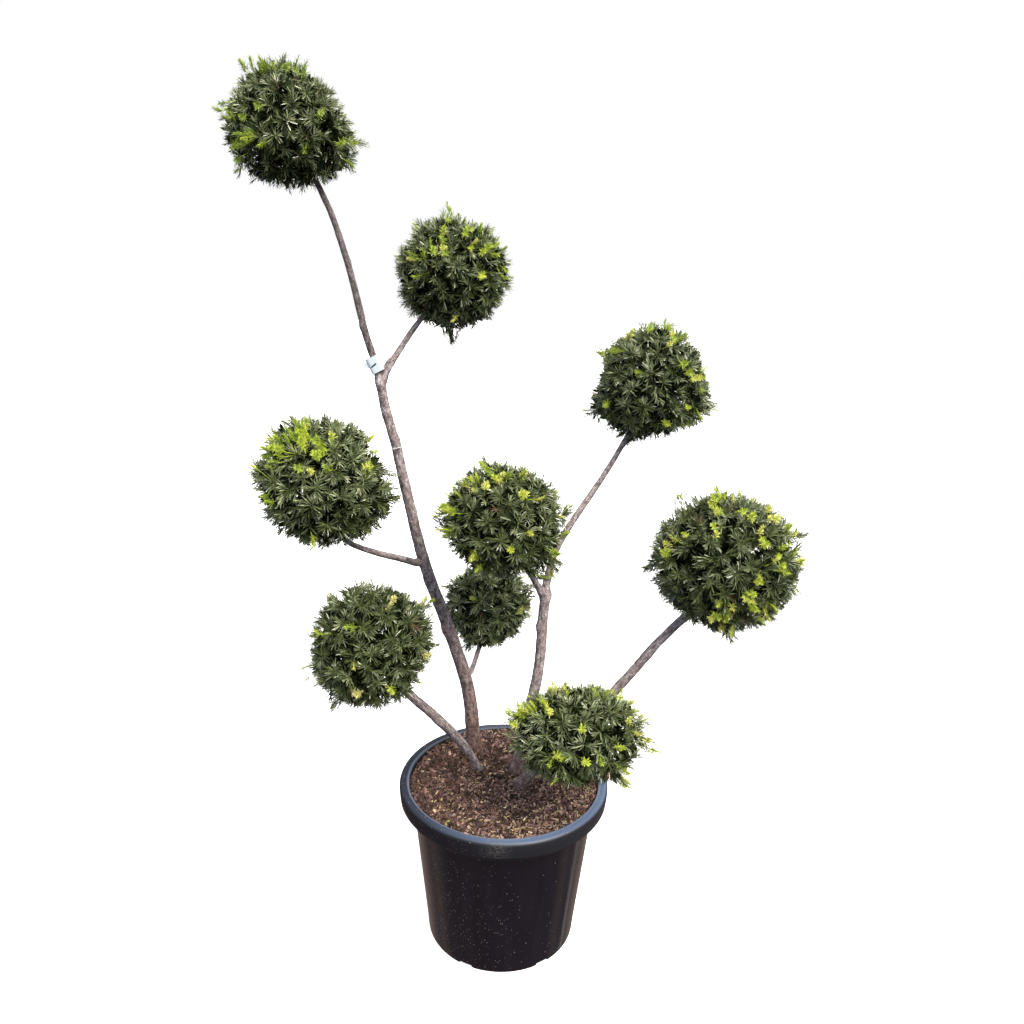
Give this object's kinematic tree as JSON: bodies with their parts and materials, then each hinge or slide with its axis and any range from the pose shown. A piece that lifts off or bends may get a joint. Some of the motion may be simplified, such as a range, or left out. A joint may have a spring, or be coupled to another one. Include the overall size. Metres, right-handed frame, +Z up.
{
  "type": "cloud-pruned yew in a nursery pot",
  "caption": "Cloud-pruned yew with clipped balls of dark needles and lime young shoots on bare leaning stems, in a round black nursery pot with a rolled rim.",
  "frame": {"origin": "middle of the pot's flat underside, on the ground", "axes": "+Z up; the plant's front faces -Y, with +X to its right as seen from the front"},
  "size_m": [1.2484, 0.6283, 1.9854],
  "materials": {
    "pot_plastic": "black recycled polypropylene, satin with dust and water marks",
    "compost": "moist brown bark and wood-fibre compost",
    "bark": "grey-brown flaky yew bark",
    "foliage": "dark green yew needles with lime young shoots",
    "label_film": "blank white plastic film"
  },
  "bodies": {
    "root": {"pot": "pot_plastic", "compost": "compost", "stem_left": "bark", "stem_front": "bark", "stem_middle": "bark", "stem_right": "bark", "leader": "bark", "bough_upper": "bark", "bough_left": "bark", "bough_back": "bark", "bough_right": "bark", "bough_centre": "bark", "bough_front": "bark", "foliage_top": "foliage", "foliage_upper": "foliage", "foliage_right_upper": "foliage", "foliage_left": "foliage", "foliage_centre": "foliage", "foliage_right": "foliage", "foliage_back": "foliage", "foliage_lower_left": "foliage", "foliage_front": "foliage", "label": "label_film", "tie": "label_film"}
  },
  "joints": []
}
